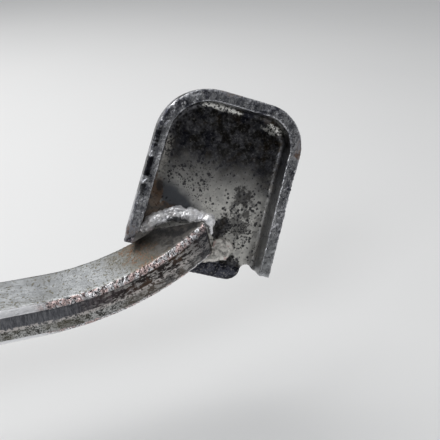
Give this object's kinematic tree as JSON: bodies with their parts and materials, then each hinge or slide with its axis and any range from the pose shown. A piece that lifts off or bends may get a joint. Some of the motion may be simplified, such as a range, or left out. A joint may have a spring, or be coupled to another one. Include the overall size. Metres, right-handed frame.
{
  "type": "foot clutch lever",
  "caption": "Foot clutch lever: pressed steel pedal pad welded to a bent forged arm, with pivot hub, crank, clevis, return spring, stud and stop plate.",
  "frame": {"origin": "on the pivot axis, in the plane of the frame face that the stop plate lies on", "axes": "+Z along the pivot axis away from the frame, +X along the straight part of the arm towards the pedal pad, -Y the way the foot pushes the tread"},
  "size_m": [0.2551, 0.086, 0.1021],
  "materials": {
    "worn_plating": "worn, pitted and rust-flecked",
    "pressed_sheet": "worn, heat-tinted and rust-flecked",
    "weld_metal": "bright rippled bead with scale",
    "zinc_steel": "dull zinc plate",
    "painted_plate": "worn black enamel",
    "spring_wire": "dark oiled wire",
    "bronze": "sintered bronze",
    "seal_rubber": "matt"
  },
  "bodies": {
    "frame_side": {"stop_plate": "painted_plate", "stop_bracket": "painted_plate", "bracket_weld": "painted_plate", "pivot_stud": "zinc_steel", "spring_anchor_pin": "zinc_steel", "stop_screw": "zinc_steel", "stop_locknut": "zinc_steel", "thrust_washer": "zinc_steel", "top_washer": "zinc_steel", "castle_nut": "zinc_steel", "nut_split_pin": "zinc_steel", "return_spring": "spring_wire"},
    "lever": {"pivot_hub": "worn_plating", "bush_lower": "bronze", "bush_upper": "bronze", "seal_lower": "seal_rubber", "seal_upper": "seal_rubber", "grease_nipple": "zinc_steel", "lever_arm": "worn_plating", "hub_weld": "weld_metal", "crank_arm": "worn_plating", "crank_weld": "weld_metal", "pedal_pad": "pressed_sheet", "pad_weld_upper": "weld_metal", "pad_weld_lower": "weld_metal"},
    "clevis": {"clevis_fork": "worn_plating", "clevis_pin": "zinc_steel", "clevis_washer": "zinc_steel", "clevis_split_pin": "zinc_steel"}
  },
  "joints": [
    {"name": "lever_pivot", "type": "hinge", "parent": "frame_side", "child": "lever", "pos_m": [0, 0, 0.0291], "axis": [0, 0, 1], "range_deg": [-25, 0], "stiffness_Nm_per_rad": 0.9, "springref_deg": 28.65, "deforming": ["return_spring"]},
    {"name": "clevis_pivot", "type": "hinge", "parent": "lever", "child": "clevis", "pos_m": [-0.045, 0, 0.0291], "axis": [0, 0, 1], "range_deg": [-25, 25]}
  ]
}
